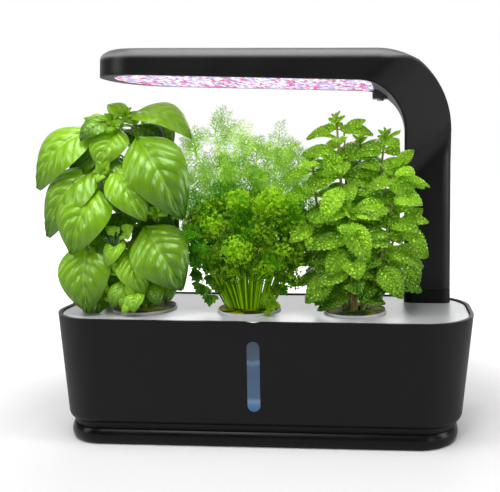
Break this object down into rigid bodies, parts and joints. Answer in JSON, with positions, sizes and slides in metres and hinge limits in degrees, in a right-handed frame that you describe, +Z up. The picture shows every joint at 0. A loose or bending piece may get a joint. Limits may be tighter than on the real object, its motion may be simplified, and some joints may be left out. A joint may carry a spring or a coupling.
{
  "type": "countertop hydroponic garden",
  "caption": "Countertop water garden: tapered reservoir on a plinth, lift-out grow deck with herb pods, sight window and a raisable LED lamp arm.",
  "frame": {"origin": "centre of the underside of the middle rubber foot, on the table, under the middle of the tub", "axes": "+X along the tub towards the lamp post, -Y the front with the sight window, +Z up"},
  "size_m": [0.344, 0.107, 0.2956],
  "materials": {
    "tub_black": "satin moulded",
    "plinth_black": "semi-gloss moulded",
    "arm_black": "satin moulded",
    "deck_metal": "fine brushed, bright rolled edge",
    "window_blue": "clear blue",
    "seal_rubber": "matte",
    "screw_steel": "zinc plated",
    "inner_black": "moulded",
    "circuit_green": "lacquered board",
    "impeller_white": "moulded",
    "foam_grey": "open foam",
    "tube_clear": "clear hose",
    "mast_alu": "anodised",
    "lens_glow": "frosted, lit from inside",
    "board_white": "white solder mask",
    "led_white": "lit",
    "led_red": "lit",
    "led_blue": "lit",
    "spreader_alu": "bare",
    "basket_grey": "pale lilac grey",
    "sponge_brown": "peat sponge",
    "label_green": "printed",
    "basil_green": "glossy leaf",
    "parsley_green": "curled leaf",
    "dill_green": "feathery leaf",
    "mint_green": "quilted leaf"
  },
  "bodies": {
    "planter": {"base_plinth": "plinth_black", "bottom_cover": "inner_black", "rubber_feet": "seal_rubber", "base_screws": "screw_steel", "tub": "tub_black", "sight_window": "window_blue", "window_gasket": "seal_rubber", "bay_lid": "inner_black", "lid_screws": "screw_steel", "contact_socket": "inner_black", "power_inlet": "inner_black", "control_board": "circuit_green", "board_screws": "screw_steel", "pump_body": "inner_black", "pump_cap": "inner_black", "pump_shaft": "screw_steel", "pump_filter": "foam_grey", "pump_tube": "tube_clear", "pump_feet": "seal_rubber", "pump_lead": "seal_rubber", "wire_grommet": "seal_rubber"},
    "impeller": {"pump_impeller": "impeller_white"},
    "deck": {"grow_deck": "deck_metal", "deck_seal": "seal_rubber", "mast_collar": "arm_black", "inner_mast": "mast_alu", "mast_screws": "screw_steel", "friction_pads": "foam_grey", "contact_plug": "inner_black"},
    "lamp": {"arm_shell": "arm_black", "led_lens": "lens_glow", "led_board": "board_white", "leds_white": "led_white", "leds_red": "led_red", "leds_blue": "led_blue", "heat_spreader": "spreader_alu", "hood_screws": "screw_steel", "lens_latch": "inner_black", "latch_screw": "screw_steel", "button_switch": "inner_black", "lamp_ribbon": "board_white"},
    "button": {"power_button": "plinth_black"},
    "pod_left": {"basket_left": "basket_grey", "sponge_left": "sponge_brown", "label_left": "label_green", "basil_plant": "basil_green"},
    "pod_middle": {"basket_middle": "basket_grey", "sponge_middle": "sponge_brown", "label_middle": "label_green", "parsley_plant": "parsley_green", "dill_plant": "dill_green"},
    "pod_right": {"basket_right": "basket_grey", "sponge_right": "sponge_brown", "label_right": "label_green", "mint_plant": "mint_green"}
  },
  "joints": [
    {"name": "impeller_spin", "type": "hinge", "parent": "planter", "child": "impeller", "pos_m": [0.028, 0.025, 0.04], "axis": [0, 0, 1], "continuous": true},
    {"name": "deck_lift", "type": "slide", "parent": "planter", "child": "deck", "axis": [0, 0, 1], "range_m": [0, 0.12]},
    {"name": "lamp_height", "type": "slide", "parent": "deck", "child": "lamp", "axis": [0, 0, 1], "range_m": [0, 0.085]},
    {"name": "button_press", "type": "slide", "parent": "lamp", "child": "button", "axis": [0, 0, -1], "range_m": [0, 0.001], "stiffness_N_per_m": 800, "springref_m": -0.0005},
    {"name": "pod_left_lift", "type": "slide", "parent": "deck", "child": "pod_left", "axis": [0, 0, 1], "range_m": [0, 0.012]},
    {"name": "pod_middle_lift", "type": "slide", "parent": "deck", "child": "pod_middle", "axis": [0, 0, 1], "range_m": [0, 0.014]},
    {"name": "pod_right_lift", "type": "slide", "parent": "deck", "child": "pod_right", "axis": [0, 0, 1], "range_m": [0, 0.012]}
  ]
}
